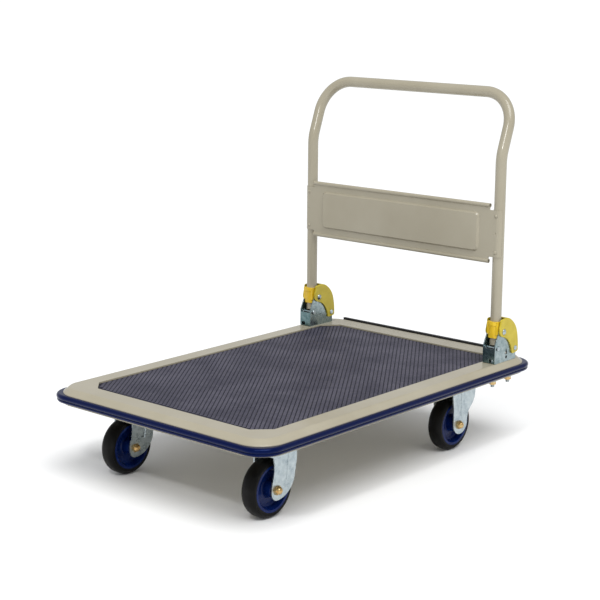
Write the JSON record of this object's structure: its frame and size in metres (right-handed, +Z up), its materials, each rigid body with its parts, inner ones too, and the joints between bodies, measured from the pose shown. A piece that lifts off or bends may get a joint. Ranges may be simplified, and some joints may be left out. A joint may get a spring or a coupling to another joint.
{
  "type": "folding platform cart",
  "caption": "Platform cart with a rubber-topped pressed deck, corner bumper, folding tube handle with push panel, lock levers and casters.",
  "frame": {"origin": "on the floor, under the middle of the deck", "axes": "+X forward, away from the handle; +Y to the cart's left; +Z up"},
  "size_m": [0.896, 0.596, 0.7765],
  "materials": {
    "painted_steel": "beige gloss paint",
    "bumper": "dark blue soft vinyl",
    "mat": "dark grey rubber with fine raised pattern",
    "zinc_steel": "bright zinc plate",
    "yellow_zinc": "yellow zinc plate",
    "lever_plastic": "yellow moulded plastic",
    "collar_plastic": "orange-yellow moulded plastic",
    "hub_plastic": "dark blue moulded plastic",
    "tyre": "black rubber",
    "bearing_steel": "ground steel",
    "black_plastic": "black plastic"
  },
  "bodies": {
    "chassis": {"deck_pan": "painted_steel", "deck_mat": "mat", "bumper": "bumper", "rear_strip": "black_plastic", "front_cross_member": "painted_steel", "rear_cross_member": "painted_steel", "caster_bolts": "zinc_steel", "caster_nuts": "zinc_steel", "bracket_supports": "painted_steel", "bracket_bolts": "zinc_steel", "bracket_washers": "zinc_steel", "bracket_nuts": "yellow_zinc", "bracket_left": "zinc_steel", "bracket_right": "zinc_steel", "pivot_pins": "zinc_steel", "swivel_plates": "zinc_steel", "kingpins": "zinc_steel", "race_balls": "bearing_steel", "rear_fork_left": "zinc_steel", "rear_fork_right": "zinc_steel", "rear_axle_bolts": "zinc_steel", "rear_cap_nuts": "yellow_zinc", "rear_axle_sleeves": "zinc_steel"},
    "handle": {"handle_tube": "painted_steel", "handle_panel": "painted_steel", "panel_rivets": "painted_steel", "leg_plugs": "black_plastic", "leg_collar_left": "collar_plastic", "leg_collar_right": "collar_plastic"},
    "lever_left": {"lock_lever_left": "lever_plastic", "tail_pin_left": "zinc_steel", "lever_spring_left": "bearing_steel"},
    "lock_pin_left": {"lock_pin_left": "zinc_steel"},
    "front_swivel_left": {"front_fork_left": "zinc_steel", "front_axle_bolt_left": "zinc_steel", "front_cap_nut_left": "yellow_zinc", "front_axle_sleeve_left": "zinc_steel"},
    "front_wheel_left": {"front_tyre_left": "tyre", "front_hub_left": "hub_plastic", "front_bearings_left": "bearing_steel"},
    "rear_wheel_left": {"rear_tyre_left": "tyre", "rear_hub_left": "hub_plastic", "rear_bearings_left": "bearing_steel"},
    "lever_right": {"lock_lever_right": "lever_plastic", "tail_pin_right": "zinc_steel", "lever_spring_right": "bearing_steel"},
    "lock_pin_right": {"lock_pin_right": "zinc_steel"},
    "front_swivel_right": {"front_fork_right": "zinc_steel", "front_axle_bolt_right": "zinc_steel", "front_cap_nut_right": "yellow_zinc", "front_axle_sleeve_right": "zinc_steel"},
    "front_wheel_right": {"front_tyre_right": "tyre", "front_hub_right": "hub_plastic", "front_bearings_right": "bearing_steel"},
    "rear_wheel_right": {"rear_tyre_right": "tyre", "rear_hub_right": "hub_plastic", "rear_bearings_right": "bearing_steel"}
  },
  "joints": [
    {"name": "handle_fold", "type": "hinge", "parent": "chassis", "child": "handle", "pos_m": [-0.34, 0, 0.258], "axis": [0, 1, 0], "range_deg": [0, 90]},
    {"name": "lever_left_lift", "type": "hinge", "parent": "handle", "child": "lever_left", "pos_m": [-0.34, 0.261, 0.258], "axis": [0, 1, 0], "range_deg": [0, 5], "stiffness_Nm_per_rad": 0.5, "springref_deg": -4.01},
    {"name": "lock_pin_left_slide", "type": "slide", "parent": "chassis", "child": "lock_pin_left", "axis": [1, 0, 0], "range_m": [0, 0.004]},
    {"name": "front_swivel_left_turn", "type": "hinge", "parent": "chassis", "child": "front_swivel_left", "pos_m": [0.298, 0.195, 0.14], "axis": [0, 0, 1], "continuous": true},
    {"name": "front_wheel_left_spin", "type": "hinge", "parent": "front_swivel_left", "child": "front_wheel_left", "pos_m": [0.325, 0.195, 0.059], "axis": [0, 1, 0], "continuous": true},
    {"name": "rear_wheel_left_spin", "type": "hinge", "parent": "chassis", "child": "rear_wheel_left", "pos_m": [-0.255, 0.2015, 0.059], "axis": [0, 1, 0], "continuous": true},
    {"name": "lever_right_lift", "type": "hinge", "parent": "handle", "child": "lever_right", "pos_m": [-0.34, -0.261, 0.258], "axis": [0, 1, 0], "range_deg": [0, 5], "stiffness_Nm_per_rad": 0.5, "springref_deg": -4.01},
    {"name": "lock_pin_right_slide", "type": "slide", "parent": "chassis", "child": "lock_pin_right", "axis": [1, 0, 0], "range_m": [0, 0.004]},
    {"name": "front_swivel_right_turn", "type": "hinge", "parent": "chassis", "child": "front_swivel_right", "pos_m": [0.298, -0.195, 0.14], "axis": [0, 0, 1], "continuous": true},
    {"name": "front_wheel_right_spin", "type": "hinge", "parent": "front_swivel_right", "child": "front_wheel_right", "pos_m": [0.325, -0.195, 0.059], "axis": [0, 1, 0], "continuous": true},
    {"name": "rear_wheel_right_spin", "type": "hinge", "parent": "chassis", "child": "rear_wheel_right", "pos_m": [-0.255, -0.2015, 0.059], "axis": [0, 1, 0], "continuous": true}
  ],
  "couplings": [
    {"joint": "lock_pin_left_slide", "follows": "lever_left_lift", "m_per_rad": 0.045837},
    {"joint": "lock_pin_right_slide", "follows": "lever_right_lift", "m_per_rad": 0.045837}
  ]
}
